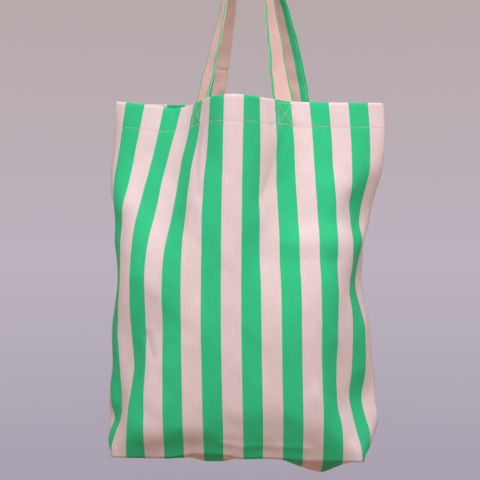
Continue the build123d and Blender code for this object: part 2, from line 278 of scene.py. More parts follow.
# Mesh steps
ACROSS = 164
S_GRID = np.linspace(-HALF, HALF, ACROSS + 1)
STEP = PANEL_WIDTH / ACROSS
WALL_ROWS = 147
FIRST_WALL_DEPTH = 3.1
WALL_DEPTHS = np.linspace(FIRST_WALL_DEPTH, WALL_HEIGHT, WALL_ROWS)
BASE_ROWS = 14
STRAP_END_ROWS = 8
LEG_SHARES = np.concatenate([np.linspace(0, 0.3, 41), np.linspace(0.32, 1, 29)])
ARCH_ROWS = 19
STRAP_FACE_POINTS = 27
LINE_STEP = 2.5
THREAD_SIDES = 6
OVERLOCK_SIDES = 5
SIDE_SEAM_ROWS = 90
CORNER_SEAM_ROWS = 20
BASE_SEAM_ROWS = 110
TURN_HALVINGS = 40
LEAN_ROUNDS = 20
FOLD_SEED = 11


def smooth(values, width):
    """Values smoothed along their last axis over a width in mesh steps."""
    reach = int(3 * width)
    weights = np.exp(-0.5 * (np.arange(-reach, reach + 1) / width) ** 2)
    padded = np.pad(values, [(0, 0), (reach, reach)], mode="edge")
    return np.array([np.convolve(row, weights / weights.sum(), mode="valid") for row in padded])


def through(levels, rows, depth):
    """Smooth curve through rows at levels, read at depth."""
    rows = np.asarray(rows, float)
    slopes = np.gradient(rows, levels, axis=0)
    i = int(np.clip(np.searchsorted(levels, depth, side="right") - 1, 0, len(levels) - 2))
    span = levels[i + 1] - levels[i]
    t = (depth - levels[i]) / span
    rise = 3 * t**2 - 2 * t**3
    bend = (t**3 - 2 * t**2 + t) * slopes[i] + (t**3 - t**2) * slopes[i + 1]
    return rows[i] * (1 - rise) + rows[i + 1] * rise + span * bend


def read_along(points, knots, places):
    """Points read at places along a run whose points are at knots."""
    return np.stack([np.interp(places, knots, points[:, k]) for k in range(3)], axis=-1)


base_share = np.clip((np.abs(S_GRID) - CORNER) / CORNER_SOFTNESS + 0.5, 0, 1) * np.sign(S_GRID)
front_rows = np.array([np.interp(S_GRID, PLACES, row) for row in FRONT_TURNS])
base_turns = np.interp(S_GRID, PLACES, BASE_TURNS) * (1 - np.abs(base_share)) + 90.0 * base_share
front_rows = np.vstack([smooth(front_rows, TURN_SOFTNESS), base_turns])
back_hem = np.interp(S_GRID / HALF, BACK_HEM_PLACES, BACK_HEM)
back_body = -np.sign(S_GRID) * np.interp(np.abs(S_GRID) / HALF, BACK_BODY_PLACES, BACK_BODY)
back_rows = smooth(np.array([
    back_hem, (back_hem + back_body) / 2, back_body, back_body, back_body,
    (back_body - base_share) / 2, -base_share,
]), TURN_SOFTNESS)

# Gentle waves in the cloth: their length, heading and phase
chance = np.random.default_rng(FOLD_SEED)
WAVES = {}
for panel_side in SIDES:
    headings = np.radians(chance.uniform(-WAVE_HEADING, WAVE_HEADING, len(WAVE_LENGTHS)))
    phases = chance.uniform(0, 2 * math.pi, len(WAVE_LENGTHS))
    WAVES[panel_side] = list(zip(WAVE_LENGTHS, headings, phases))


def ramp(value, low, high):
    """0 below low, 1 above high, and smooth between."""
    share = np.clip((value - low) / (high - low), 0, 1)
    return share * share * (3 - 2 * share)


def rumple(side, depth):
    """Height of the small folds across a panel at a depth."""
    height = np.zeros_like(S_GRID)
    for from_s, from_depth, to_s, to_depth, rise, width in FOLDS[side]:
        run_s, run_depth = to_s - from_s, to_depth - from_depth
        share = (S_GRID - from_s) * run_s + (depth - from_depth) * run_depth
        share = np.clip(share / (run_s**2 + run_depth**2), 0, 1)
        gap = np.hypot(S_GRID - from_s - share * run_s, depth - from_depth - share * run_depth)
        height += rise * np.exp(-((gap / width) ** 2))
    loose = WAVE_SLOPE * (WAVES_AT_HEM + (1 - WAVES_AT_HEM) * ramp(depth, *WAVES_FREE))
    for length, heading, phase in WAVES[side]:
        along = S_GRID * math.cos(heading) + depth * math.sin(heading)
        height += loose * length * np.sin(2 * math.pi * along / length + phase)
    height *= 1 - ramp(depth, WALL_HEIGHT - FLAT_ABOVE_BASE, WALL_HEIGHT)
    height -= STITCH_DENT * math.exp(-(((depth - HEM_STITCH_DEPTH) / STITCH_DENT_WIDTH) ** 2))
    return height * ramp(HALF - np.abs(S_GRID), 0, FLAT_BY_SEAM)


def lean_in(depth):
    """How far the front leans in towards the base, across the panel at a depth."""
    below = depth - np.interp(S_GRID, *LEAN_FROM)
    leant = LEAN * (below + np.hypot(below, LEAN_SOFTNESS)) / 2
    return leant * ramp(HALF - np.abs(S_GRID), 0, LEAN_BY_SEAM) * ramp(depth, *LEAN_STARTS)


def walk(turns):
    """Points along cloth from 0, 0, with its turn in degrees at each mesh step."""
    middle = np.radians((turns[1:] + turns[:-1]) / 2)
    x = np.concatenate([[0], np.cumsum(np.cos(middle) * STEP)])
    y = np.concatenate([[0], np.cumsum(np.sin(middle) * STEP)])
    return x, y


shapes = {}
sections = {}


def hanging_shape(side, depth):
    """x, y and turn across a side at a depth, without its small folds."""
    key = (side, round(depth, 3))
    if key in shapes:
        return shapes[key]
    if side == FRONT:
        turns = through(TURN_LEVELS, front_rows, depth)
        x, y = walk(turns)
        x += through(LEVELS, MIDDLE_X, depth) - x[ACROSS // 2]
        y += through(LEVELS, MIDDLE_Y, depth) - y[ACROSS // 2]
    else:
        front_x, front_y, _ = hanging_shape(FRONT, depth)
        goal_x, goal_y = front_x[-1] - front_x[0], front_y[-1] - front_y[0]
        shares = through(LEVELS, back_rows, depth)
        low, high = 0.0, BACK_MOST_TURN
        for _ in range(TURN_HALVINGS):
            most = (low + high) / 2
            x, y = walk(most * shares)
            if math.hypot(x[-1], y[-1]) > math.hypot(goal_x, goal_y):
                low = most
            else:
                high = most
        lean = math.atan2(goal_y, goal_x) - math.atan2(y[-1], x[-1])
        turns = most * shares + math.degrees(lean)
        cos, sin = math.cos(lean), math.sin(lean)
        x, y = front_x[0] + x * cos - y * sin, front_y[0] + x * sin + y * cos
    shapes[key] = x, y, turns
    return shapes[key]


def section(side, depth):
    """Points across one side of the bag at a depth, and the way out of the cloth at each."""
    depth = min(max(depth, 0.0), WALL_HEIGHT)
    key = (side, round(depth, 3))
    if key in sections:
        return sections[key]
    x, y, turns = hanging_shape(side, depth)
    if side == FRONT:
        y = y + lean_in(depth)
    angle = np.radians(turns)
    outward = np.column_stack([-side * np.sin(angle), side * np.cos(angle), np.zeros_like(x)])
    rise = np.interp(S_GRID, *HEM_RISE[side]) * math.exp(-((depth / HEM_RISE_REACH) ** 2))
    near_base = ramp(depth, WALL_HEIGHT - CREASE_RISE_REACH, WALL_HEIGHT)
    rise += np.interp(S_GRID, *CREASE_RISE[side]) * near_base
    points = np.column_stack([x, y, HEM_Z - depth + rise])
    sections[key] = points + outward * rumple(side, depth)[:, None], outward
    return sections[key]


def on_cloth(side, s, depth, inset=0.0):
    """Point of the cloth at s and depth, inset into the bag, and the way out of the cloth there."""
    points, outward = section(side, depth)
    out = read_along(outward, S_GRID, s)
    out /= np.linalg.norm(out)
    return read_along(points, S_GRID, s) - out * inset, out


def piece(name, points, faces, corner_uvs=None, finishes=None):
    """Smooth mesh object from points in millimetres, with uvs in metres for each face's corners."""
    mesh = bpy.data.meshes.new(name)
    mesh.from_pydata([tuple(p) for p in np.asarray(points) * MM], [], faces)
    if corner_uvs is not None:
        layer = mesh.uv_layers.new(name="cloth")
        layer.data.foreach_set("uv", np.asarray(corner_uvs, np.float32).ravel() * MM)
    if finishes is not None:
        mesh.polygons.foreach_set("material_index", finishes)
    mesh.polygons.foreach_set("use_smooth", np.ones(len(mesh.polygons), dtype=bool))
    mesh.update()
    made = bpy.data.objects.new(name, mesh)
    bpy.context.scene.collection.objects.link(made)
    return made


def base_sag(x, share):
    """How far the base hangs below its creases at x, a share of the way from a crease to the seam."""
    across = np.clip(1 - ((x - SAG_MIDDLE) / SAG_HALF_LENGTH) ** 4, 0, 1)
    dip = DIP_DEPTH * np.exp(-(((x - DIP_X) / DIP_HALF_WIDTH) ** 4))
    slope = np.hypot(x - PEAK_X, PEAK_ROUND) / PEAK_HALF_WIDTH
    peak = PEAK_DEPTH * np.clip(PEAK_SHARE - slope, 0, 1)
    return (SAG_DEPTH + dip + peak) * np.sqrt(across) * math.sin(share * math.pi / 2)


def panel(side):
    """One panel: hem turned in, wall, and half of the boxed base."""
    hem_depths = np.arange(HEM_DEPTH, CLOTH, -HEM_ROW_STEP)
    rows = [(depth, HEM_PLY_INSET, 0.0, -depth) for depth in hem_depths]
    rows += [(0.0, HEM_PLY_INSET * share, lift, run) for share, lift, run in HEM_EDGE]
    rows += [(depth, 0.0, 0.0, depth) for depth in WALL_DEPTHS]
    grid = []
    for depth, inset, lift, run in rows:
        points, outward = section(side, depth)
        grid.append(points - outward * inset + [0, 0, lift])
    runs = [run for _, _, _, run in rows]
    crease = grid[-1]
    seam_y = (crease[0, 1] + crease[-1, 1]) / 2
    for k in range(1, BASE_ROWS + 1):
        share = k / BASE_ROWS
        row = crease.copy()
        row[:, 1] += (seam_y - crease[:, 1]) * share
        row[:, 2] = crease[:, 2] + (BASE_Z - crease[:, 2]) * share - base_sag(crease[:, 0], share)
        grid.append(row)
        runs.append(WALL_HEIGHT + share * BASE_DEPTH / 2)
    faces, uvs = [], []
    in_base = np.abs(S_GRID) <= CORNER + CORNER_SOFTNESS / 2
    width = ACROSS + 1
    for r in range(len(grid) - 1):
        for i in range(ACROSS):
            if r >= len(rows) - 1 and not (in_base[i] and in_base[i + 1]):
                continue
            corners = [(r, i), (r + 1, i), (r + 1, i + 1), (r, i + 1)]
            if side == BACK:
                corners.reverse()
            faces.append([row * width + k for row, k in corners])
            uvs += [(-side * S_GRID[k], -runs[row]) for row, k in corners]
    used = np.unique(np.array(faces))
    place = np.zeros(len(grid) * width, dtype=int)
    place[used] = np.arange(len(used))
    points = np.concatenate(grid)[used]
    made = piece(f"{SIDES[side]}_panel_cloth", points, place[np.array(faces)].tolist(), uvs)
    thick = made.modifiers.new("cloth_thickness", "SOLIDIFY")
    thick.thickness = CLOTH * MM
    thick.offset = -1.0
    return made


def leg(side, hand):
    """Foot and top of a strap's leg, the way out of the cloth at its foot, and its lean at the loop."""
    foot, out = on_cloth(side, hand * STRAP_SPACING / 2, 0.0, STRAP_INSET)
    lean = 0.0
    for _ in range(LEAN_ROUNDS):
        rise = HANDLE_DROP + LOOP_RADIUS * math.sin(lean)
        lean = math.atan2(abs(foot[0]) - LOOP_RADIUS * math.cos(lean), rise)
    top = np.array([
        hand * LOOP_RADIUS * math.cos(lean),
        side * (STRAP_WIDTH + LOOP_GAP) / 2,
        LOOP_RADIUS * math.sin(lean),
    ])
    return foot, top, out, lean


def strap_path(side):
    """Steps along a strap: middle, across, outward, hand, depth below the hem and hold of the cloth."""
    steps = []
    arch_ends = []
    for hand in HANDS:
        foot, top, out, lean = leg(side, hand)
        along = (top - foot) / np.linalg.norm(top - foot)
        turn = math.degrees(math.atan2(-side * out[0], side * out[1]))
        climb = []
        for depth in np.linspace(STRAP_END_DEPTH, 0, STRAP_END_ROWS)[:-1]:
            middle, out = on_cloth(side, hand * STRAP_SPACING / 2, depth, STRAP_INSET)
            across = np.array([side * out[1], -side * out[0], 0.0])
            climb.append((middle, across, out, hand, depth, 1.0))
        settled, top_turn = STRAP_TURNS[side, hand], -side * hand * 90.0
        for share in LEG_SHARES:
            twist = np.interp(share, [STRAP_SETTLED, 1], [settled, top_turn])
            twist += (turn - settled) * (1 - ramp(share, 0, STRAP_SETTLED))
            angle = math.radians(twist)
            ease = float(ramp(share * HANDLE_DROP, 0, STRAP_EASE))
            up = along * ease + np.array([0.0, 0.0, 1.0]) * (1 - ease)
            up /= np.linalg.norm(up)
            across = np.array([math.cos(angle), math.sin(angle), 0.0])
            across -= up * (across @ up)
            across /= np.linalg.norm(across)
            middle = foot + (top - foot) * share
            middle[0] += STRAP_BOWS[side, hand] * math.sin(math.pi * share)
            climb.append((middle, across, np.cross(up, across) * side, hand, 0.0, 1 - ease))
        steps.append(climb)
        arch_ends.append(lean)
    arch = []
    for angle in np.linspace(math.pi - arch_ends[0], arch_ends[1], ARCH_ROWS)[1:-1]:
        outward = np.array([math.cos(angle), 0.0, math.sin(angle)])
        middle = outward * LOOP_RADIUS + np.array([0, side * (STRAP_WIDTH + LOOP_GAP) / 2, 0])
        arch.append((middle, np.array([0.0, side, 0.0]), outward, LEFT, 0.0, 0.0))
    down = []
    for middle, across, outward, hand, depth, hold in steps[1][::-1]:
        down.append((middle, -across, outward, hand, depth, hold))
    return steps[0] + arch + down


def on_strap(side, step, w, t):
    """Point on a strap at a step, w across from its middle and t out from its middle layer."""
    middle, across, outward, hand, depth, hold = step
    rise = middle[2] - HEM_Z
    uneven = 0.0
    for height, run_along, run_across, differs in STRAP_RIPPLES:
        uneven += height * math.sin(rise / run_along + w / run_across + differs * side)
    if (side, hand) == (BACK, LEFT):
        from_crease = rise - CREASED_LEG_HEIGHT - w * CREASED_LEG_SLANT
        uneven += CREASED_LEG_DEPTH * math.exp(-((from_crease / CREASED_LEG_WIDTH) ** 2))
    uneven *= float(ramp(rise, *RIPPLES_FROM) * (1 - ramp(rise, *RIPPLES_UNTIL)))
    point = middle + across * w + outward * (t + uneven)
    if hold > 0:
        held, _ = on_cloth(side, hand * (STRAP_SPACING / 2 - w), depth, STRAP_INSET - t)
        if depth == 0.0:
            held = held + middle - leg(side, hand)[0]
        point = point * (1 - hold) + held * hold
    return point


def strap(side):
    """One strap, folded in four: sewn ends, legs and the arch over the hook, as one closed mesh."""
    half, thick = STRAP_WIDTH / 2, STRAP_THICKNESS / 2
    reach = half - STRAP_EDGE_ROUND
    flat = np.linspace(-reach, reach, STRAP_FACE_POINTS)
    from_row = np.abs(flat) - half + STRAP_STITCH_MARGIN
    groove = GROOVE_DEPTH * np.exp(-((from_row / GROOVE_WIDTH) ** 2))
    edge = [(math.cos(a), math.sin(a)) for a in np.radians([60, 30, 0, -30, -60])]
    outline = [(w, thick - g) for w, g in zip(flat, groove)]
    outline += [(reach + c * STRAP_EDGE_ROUND, thick * s) for c, s in edge]
    outline += [(w, g - thick) for w, g in zip(flat[::-1], groove)]
    outline += [(-reach - c * STRAP_EDGE_ROUND, -thick * s) for c, s in edge]
    around = [0.0]
    for a, b in zip(outline, outline[1:] + outline[:1]):
        around.append(around[-1] + math.hypot(b[0] - a[0], b[1] - a[1]))
    around = [length + flat[0] for length in around]
    path = strap_path(side)
    runs = [0.0]
    for a, b in zip(path, path[1:]):
        runs.append(runs[-1] + float(np.linalg.norm(b[0] - a[0])))
    points = [on_strap(side, step, w, t) for step in path for w, t in outline]
    count = len(outline)
    faces, uvs = [], []
    for r in range(len(path) - 1):
        for k in range(count):
            n = (k + 1) % count
            corners = [(r, k, k), (r, n, k + 1), (r + 1, n, k + 1), (r + 1, k, k)]
            faces.append([row * count + p for row, p, _ in corners])
            uvs += [(around[u], runs[row]) for row, _, u in corners]
    for r, order in ((0, range(count - 1, -1, -1)), (len(path) - 1, range(count))):
        faces.append([r * count + k for k in order])
        uvs += [(around[k], runs[r]) for k in order]
    return piece(f"{SIDES[side]}_strap", points, faces, uvs)


def add_tube(points, faces, path, radii, up, sides):
    """Adds a closed tube along a path to a list of points and faces."""
    path, up = np.asarray(path), np.asarray(up)
    along = np.gradient(path, axis=0)
    along /= np.linalg.norm(along, axis=1)[:, None]
    across = np.cross(along, up)
    across /= np.linalg.norm(across, axis=1)[:, None]
    over = np.cross(across, along)
    start = len(points)
    for k, centre in enumerate(path):
        for angle in np.linspace(0, 2 * math.pi, sides, endpoint=False):
            reach = across[k] * math.cos(angle) + over[k] * math.sin(angle)
            points.append(centre + reach * radii[k])
    for r in range(len(path) - 1):
        for k in range(sides):
            n = (k + 1) % sides
            here, there = start + r * sides, start + (r + 1) * sides
            faces.append([here + k, here + n, there + n, there + k])
    faces.append([start + k for k in range(sides - 1, -1, -1)])
    faces.append([start + (len(path) - 1) * sides + k for k in range(sides)])


def add_stitches(points, faces, path, up):
    """Adds a row of stitches along a path that lies on cloth whose way out is up."""
    path, up = np.asarray(path), np.asarray(up)
    runs = np.concatenate([[0], np.cumsum(np.linalg.norm(np.diff(path, axis=0), axis=1))])
    count = max(1, round(runs[-1] / STITCH))
    pitch = runs[-1] / count
    for i in range(count):
        places = (i + STITCH_SPAN) * pitch
        out = read_along(up, runs, places)
        line = read_along(path, runs, places) + out * STITCH_ARCH[:, None]
        add_tube(points, faces, line, STITCH_TAPER, out, THREAD_SIDES)


def cloth_line(side, s_from, depth_from, s_to, depth_to, inset):
    """Line on the cloth between two places, and the way out of the cloth along it."""
    count = max(2, int(math.hypot(s_to - s_from, depth_to - depth_from) / LINE_STEP))
    places = zip(np.linspace(s_from, s_to, count), np.linspace(depth_from, depth_to, count))
    found = [on_cloth(side, s, depth, inset) for s, depth in places]
    sign = 1 if inset <= 0 else -1
    return [point for point, _ in found], [out * sign for _, out in found]


def hem_stitches(side):
    """Row of stitches along a hem, seen outside and on the turned-in ply."""
    points, faces = [], []
    for inset in (0.0, HEM_PLY_INSET):
        end = HALF - HEM_ROW_END
        line = cloth_line(side, -end, HEM_STITCH_DEPTH, end, HEM_STITCH_DEPTH, inset)
        add_stitches(points, faces, *line)
    return piece(f"{SIDES[side]}_hem_stitches", points, faces)


def box_stitches(side, hand):
    """Crossed box through the hem and a strap's end, seen on the cloth and on the strap."""
    points, faces = [], []
    middle = hand * STRAP_SPACING / 2
    left, right = middle - BOX_WIDTH / 2, middle + BOX_WIDTH / 2
    top, bottom = BOX_MARGIN, HEM_STITCH_DEPTH - BOX_FOOT
    runs = [(left, top, right, top), (left, bottom, right, bottom), (left, top, left, bottom)]
    runs += [(right, top, right, bottom), (left, top, right, bottom), (right, top, left, bottom)]
    for inset in (0.0, STRAP_INSET + STRAP_THICKNESS / 2):
        for run in runs:
            add_stitches(points, faces, *cloth_line(side, *run, inset))
    return piece(f"{SIDES[side]}_{HANDS[hand]}_box_stitches", points, faces)


def strap_stitches(side):
    """Rows of stitches along both edges of a strap, on both its faces."""
    points, faces = [], []
    path = [step for step in strap_path(side) if step[4] == 0.0]
    edge = STRAP_WIDTH / 2 - STRAP_STITCH_MARGIN
    for w in (-edge, edge):
        for face in (1, -1):
            height = face * (STRAP_THICKNESS / 2 - GROOVE_DEPTH)
            line = [on_strap(side, step, w, height) for step in path]
            add_stitches(points, faces, line, [step[2] * face for step in path])
    return piece(f"{SIDES[side]}_strap_stitches", points, faces)


def overlock(name, middles, inward, normal):
    """Raw edge of a seam inside the bag, bound with thread loops. Finish 0 is cloth, 1 is thread."""
    middles, inward, normal = (np.asarray(v) for v in (middles, inward, normal))
    half, thick = SEAM_ALLOWANCE / 2, SEAM_THICKNESS / 2
    outline = [(-half, thick), (0, thick), (half - SEAM_BEVEL, thick), (half, 0)]
    outline += [(half - SEAM_BEVEL, -thick), (0, -thick), (-half, -thick)]
    count = len(outline)
    points, faces = [], []
    for k in range(len(middles)):
        points += [middles[k] + inward[k] * a + normal[k] * b for a, b in outline]
    for r in range(len(middles) - 1):
        for k in range(count):
            n = (k + 1) % count
            faces.append([r * count + k, r * count + n, (r + 1) * count + n, (r + 1) * count + k])
    faces.append(list(range(count))[::-1])
    faces.append([(len(middles) - 1) * count + k for k in range(count)])
    cloth_faces = len(faces)
    runs = np.concatenate([[0], np.cumsum(np.linalg.norm(np.diff(middles, axis=0), axis=1))])
    loop = OVERLOCK_LOOP + [OVERLOCK_TURN] + [(a, -b) for a, b in OVERLOCK_LOOP[::-1]]
    slant = np.linspace(-0.5, 0.5, len(loop)) * OVERLOCK_STEP
    for place in np.arange(OVERLOCK_STEP, runs[-1] - OVERLOCK_STEP, OVERLOCK_STEP):
        path, up = [], []
        for (a, b), shift in zip(loop, slant):
            middle, way_in, way_up = (
                read_along(v, runs, place + shift) for v in (middles, inward, normal)
            )
            path.append(middle + way_in * a + way_up * b * thick)
            up.append(np.cross(way_in, way_up))
        add_tube(points, faces, path, np.full(len(loop), THREAD), up, OVERLOCK_SIDES)
    for face in (1, -1):
        row = middles - inward * SEAM_ROW_INSET + normal * face * thick
        add_stitches(points, faces, row, normal * face)
    finishes = [0] * cloth_faces + [1] * (len(faces) - cloth_faces)
    return piece(name, points, faces, None, finishes)


def side_overlock(hand):
    """Seam allowance of one side seam, halfway between front and back."""
    middles, inwards, normals = [], [], []
    top, foot = HEM_DEPTH + SEAM_ALLOWANCE, SIDE_SEAM_FOOT * WALL_HEIGHT
    inset = CLOTH + SIDE_SEAM_GAP + SEAM_ALLOWANCE / 2
    for depth in np.linspace(top, foot, SIDE_SEAM_ROWS):
        marks = [on_cloth(side, hand * (HALF - SEAM_REACH), depth)[0] for side in SIDES]
        apart = marks[1] - marks[0]
        inward = hand * np.array([-apart[1], apart[0], 0.0])
        inward /= np.linalg.norm(inward)
        middles.append((marks[0] + marks[1]) / 2 + inward * inset)
        inwards.append(inward)
        normals.append(np.array([-inward[1], inward[0], 0.0]))
    return overlock(f"{HANDS[hand]}_side_seam", middles, inwards, normals)


def corner_overlock(hand):
    """Seam allowance across one boxed corner, lying on the base."""
    crease, _ = section(FRONT, WALL_HEIGHT)
    end = crease[0] if hand == LEFT else crease[-1]
    x = end[0] - hand * (CLOTH + CORNER_SEAM_GAP + SEAM_ALLOWANCE / 2)
    reach = (BASE_DEPTH - CORNER_SEAM_SHORT) / 2
    places = np.linspace(-reach, reach, CORNER_SEAM_ROWS)
    middles = [(x, end[1] + y, BASE_Z + CORNER_SEAM_LIFT) for y in places]
    inwards = [(-hand, 0.0, 0.0)] * len(middles)
    return overlock(f"{HANDS[hand]}_corner_seam", middles, inwards, [(0.0, 0.0, 1.0)] * len(middles))


def base_overlock():
    """Seam allowance of the base seam, lying on the sagging base."""
    crease, _ = section(FRONT, WALL_HEIGHT)
    inset = CLOTH + BASE_SEAM_GAP + SEAM_ALLOWANCE
    places = np.linspace(crease[0, 0] + inset, crease[-1, 0] - inset, BASE_SEAM_ROWS)
    y = (crease[0, 1] + crease[-1, 1]) / 2
    middles = [(x, y, BASE_Z - base_sag(x, 1.0) + BASE_SEAM_LIFT) for x in places]
    inwards = [(0.0, 1.0, 0.0)] * len(middles)
    return overlock("base_seam", middles, inwards, [(0.0, 0.0, 1.0)] * len(middles))


def linear(code):
    """Linear colour of an sRGB hex code."""
    parts = [int(code[i : i + 2], 16) / 255 for i in (0, 2, 4)]
    return (*[p / 12.92 if p <= 0.04045 else ((p + 0.055) / 1.055) ** 2.4 for p in parts], 1.0)


def finish(name):
    """New node material, its tree and its shader."""
    made = bpy.data.materials.new(name)
    made.use_nodes = True
    return made, made.node_tree, made.node_tree.nodes["Principled BSDF"]


def add(tree, kind, inputs, out=0, **settings):
    """Adds a node with its settings, sets or links its inputs, and gives one of its outputs."""
    made = tree.nodes.new(kind)
    for key, value in settings.items():
        setattr(made, key, value)
    for key, value in inputs.items():
        if isinstance(value, bpy.types.NodeSocket):
            tree.links.new(value, made.inputs[key])
        else:
            made.inputs[key].default_value = value
    return made.outputs[out]


# Dyes of the yarns and threads, except that the straps' pink also carries painted warm shade
GREEN = "35C488"
PINK = "E8CFD1"
# Painted warm shade: the straps' pink is the panels' pink warmed and darkened to stand for the warm light
# and shade on the straps
STRAP_PINK_PAINTED_WARM_SHADE = "EBC0B9"
THREAD_PINK = "DFC8BC"
THREAD_SHADE = "CDB2A7"
RAW_EDGE_SHADE = "DCC3C0"
RAW_EDGE_LIGHT = "EFDDDA"

# Weave, per metre across and along a panel: streaks of shade about 1 mm by 30 mm, and clouds of 45 mm
PER_METRE = 1000.0
THREADS = PER_METRE / 2.4
WARP_STREAKS = (900.0, 30.0, 1.0)
WEFT_STREAKS = (40.0, 700.0, 1.0)
CLOUDS = 22.0
STRIPE_EDGE_STEPS = PER_METRE / 2.5
STRIPE_EDGE_NUDGE = 0.6 / PER_METRE

# Thread and raw edge, per metre: bands for a 0.5 mm ply, shades of 7 mm and fray of 1.4 mm
PLY_BANDS = 600.0
THREAD_SHADES = 150.0
FRAY = 700.0

# Where the strap's second edge and the green half of its inner face lie, around it from its middle
SECOND_EDGE = 13.9 / PER_METRE
SECOND_EDGE_REACH = 1.8 / PER_METRE
GREEN_HALF = 35.2 / PER_METRE


def weave(tree, shader, uv, tint):
    """Plain-woven cotton: yarns that differ in shade, a matt face and a soft nap.

    The real yarns are about 0.6 mm apart and are drawn four times as coarse, so that they show.
    """
    noise = {"Scale": 1.0, "Detail": 2.0}
    along_yarn = add(tree, "ShaderNodeMapping", {"Vector": uv, "Scale": WARP_STREAKS})
    yarn = add(
        tree, "ShaderNodeTexNoise", {"Vector": along_yarn, **noise}, noise_dimensions="2D",
    )
    across_yarn = add(tree, "ShaderNodeMapping", {"Vector": uv, "Scale": WEFT_STREAKS})
    weft = add(
        tree, "ShaderNodeTexNoise", {"Vector": across_yarn, **noise}, noise_dimensions="2D",
    )
    cloudy = add(
        tree, "ShaderNodeTexNoise", {"Vector": uv, "Scale": CLOUDS, "Detail": 3.0},
        noise_dimensions="2D",
    )
    streak = add(tree, "ShaderNodeMath", {0: weft, 1: 0.35, 2: yarn}, operation="MULTIPLY_ADD")
    shade = add(tree, "ShaderNodeMapRange", {
        "Value": streak, "From Min": 0.37, "From Max": 0.98, "To Min": 0.95, "To Max": 1.045,
    })
    fade = add(tree, "ShaderNodeMapRange", {
        "Value": cloudy, "From Min": 0.3, "From Max": 0.7, "To Min": 0.97, "To Max": 1.03,
    })
    both = add(tree, "ShaderNodeMath", {0: shade, 1: fade}, operation="MULTIPLY")
    colour = add(tree, "ShaderNodeVectorMath", {0: tint, 1: both}, operation="MULTIPLY")
    tree.links.new(colour, shader.inputs["Base Color"])
    turn_rate = 2 * math.pi * THREADS
    turns = add(tree, "ShaderNodeVectorMath", {0: uv, "Scale": turn_rate}, operation="SCALE")
    waves = add(tree, "ShaderNodeVectorMath", {0: turns}, operation="SINE")
    warp_wave = add(tree, "ShaderNodeSeparateXYZ", {0: waves}, "X")
    weft_wave = add(tree, "ShaderNodeSeparateXYZ", {0: waves}, "Y")
    crossing = add(tree, "ShaderNodeMath", {0: warp_wave, 1: weft_wave}, operation="MULTIPLY")
    height = add(
        tree, "ShaderNodeMath", {0: streak, 1: 0.9, 2: crossing}, operation="MULTIPLY_ADD",
    )
    bump = add(tree, "ShaderNodeBump", {"Strength": 0.12, "Distance": 0.0003, "Height": height})
    tree.links.new(bump, shader.inputs["Normal"])
    rough = add(tree, "ShaderNodeMapRange", {
        "Value": yarn, "From Min": 0.3, "From Max": 0.7, "To Min": 0.84, "To Max": 0.95,
    })
    tree.links.new(rough, shader.inputs["Roughness"])
    shader.inputs["Specular IOR Level"].default_value = 0.15
    shader.inputs["Sheen Weight"].default_value = 0.05
    shader.inputs["Sheen Roughness"].default_value = 0.6


def striped_canvas():
    """Cotton canvas, woven from dyed yarns in 25 mm stripes: matt, with edges a yarn or so uneven."""
    made, tree, shader = finish("striped_canvas")
    uv = add(tree, "ShaderNodeUVMap", {}, uv_map="cloth")
    across = add(tree, "ShaderNodeSeparateXYZ", {0: uv}, "X")
    uneven = add(
        tree, "ShaderNodeTexNoise",
        {"Vector": uv, "Scale": STRIPE_EDGE_STEPS, "Detail": 2.0},
        noise_dimensions="2D",
    )
    nudged = add(
        tree, "ShaderNodeMath", {0: uneven, 1: STRIPE_EDGE_NUDGE, 2: across},
        operation="MULTIPLY_ADD",
    )
    middle = STRIPE_SHIFT / PER_METRE + STRIPE_EDGE_NUDGE / 2
    from_middle = add(tree, "ShaderNodeMath", {0: nudged, 1: middle}, operation="SUBTRACT")
    turn_rate = math.pi * PER_METRE / STRIPE
    angle = add(tree, "ShaderNodeMath", {0: from_middle, 1: turn_rate}, operation="MULTIPLY")
    wave = add(tree, "ShaderNodeMath", {0: angle}, operation="COSINE")
    green = add(tree, "ShaderNodeMapRange", {"Value": wave, "From Min": 0.04, "From Max": -0.04})
    tint = add(
        tree, "ShaderNodeMix", {0: green, 6: linear(PINK), 7: linear(GREEN)}, 2,
        data_type="RGBA",
    )
    weave(tree, shader, uv, tint)
    return made


def strap_canvas():
    """The same woven canvas, folded in four: matt, pink between green edges and half green inside. Its
    pink is the panels' pink made warmer and darker, as painted warm shade.
    """
    made, tree, shader = finish("strap_canvas")
    uv = add(tree, "ShaderNodeUVMap", {}, uv_map="cloth")
    around = add(tree, "ShaderNodeSeparateXYZ", {0: uv}, "X")
    first_edge = -STRIPE / 2 / PER_METRE
    first = add(tree, "ShaderNodeMath", {0: around, 1: first_edge}, operation="LESS_THAN")
    second = add(
        tree, "ShaderNodeMath", {0: around, 1: SECOND_EDGE, 2: SECOND_EDGE_REACH},
        operation="COMPARE",
    )
    third = add(tree, "ShaderNodeMath", {0: around, 1: GREEN_HALF}, operation="GREATER_THAN")
    either = add(tree, "ShaderNodeMath", {0: first, 1: second}, operation="MAXIMUM")
    green = add(tree, "ShaderNodeMath", {0: either, 1: third}, operation="MAXIMUM")
    # The pink mixed here is the strap pink with its painted warm shade
    tint = add(
        tree, "ShaderNodeMix", {0: green, 6: linear(STRAP_PINK_PAINTED_WARM_SHADE), 7: linear(GREEN)}, 2,
        data_type="RGBA",
    )
    weave(tree, shader, uv, tint)
    return made


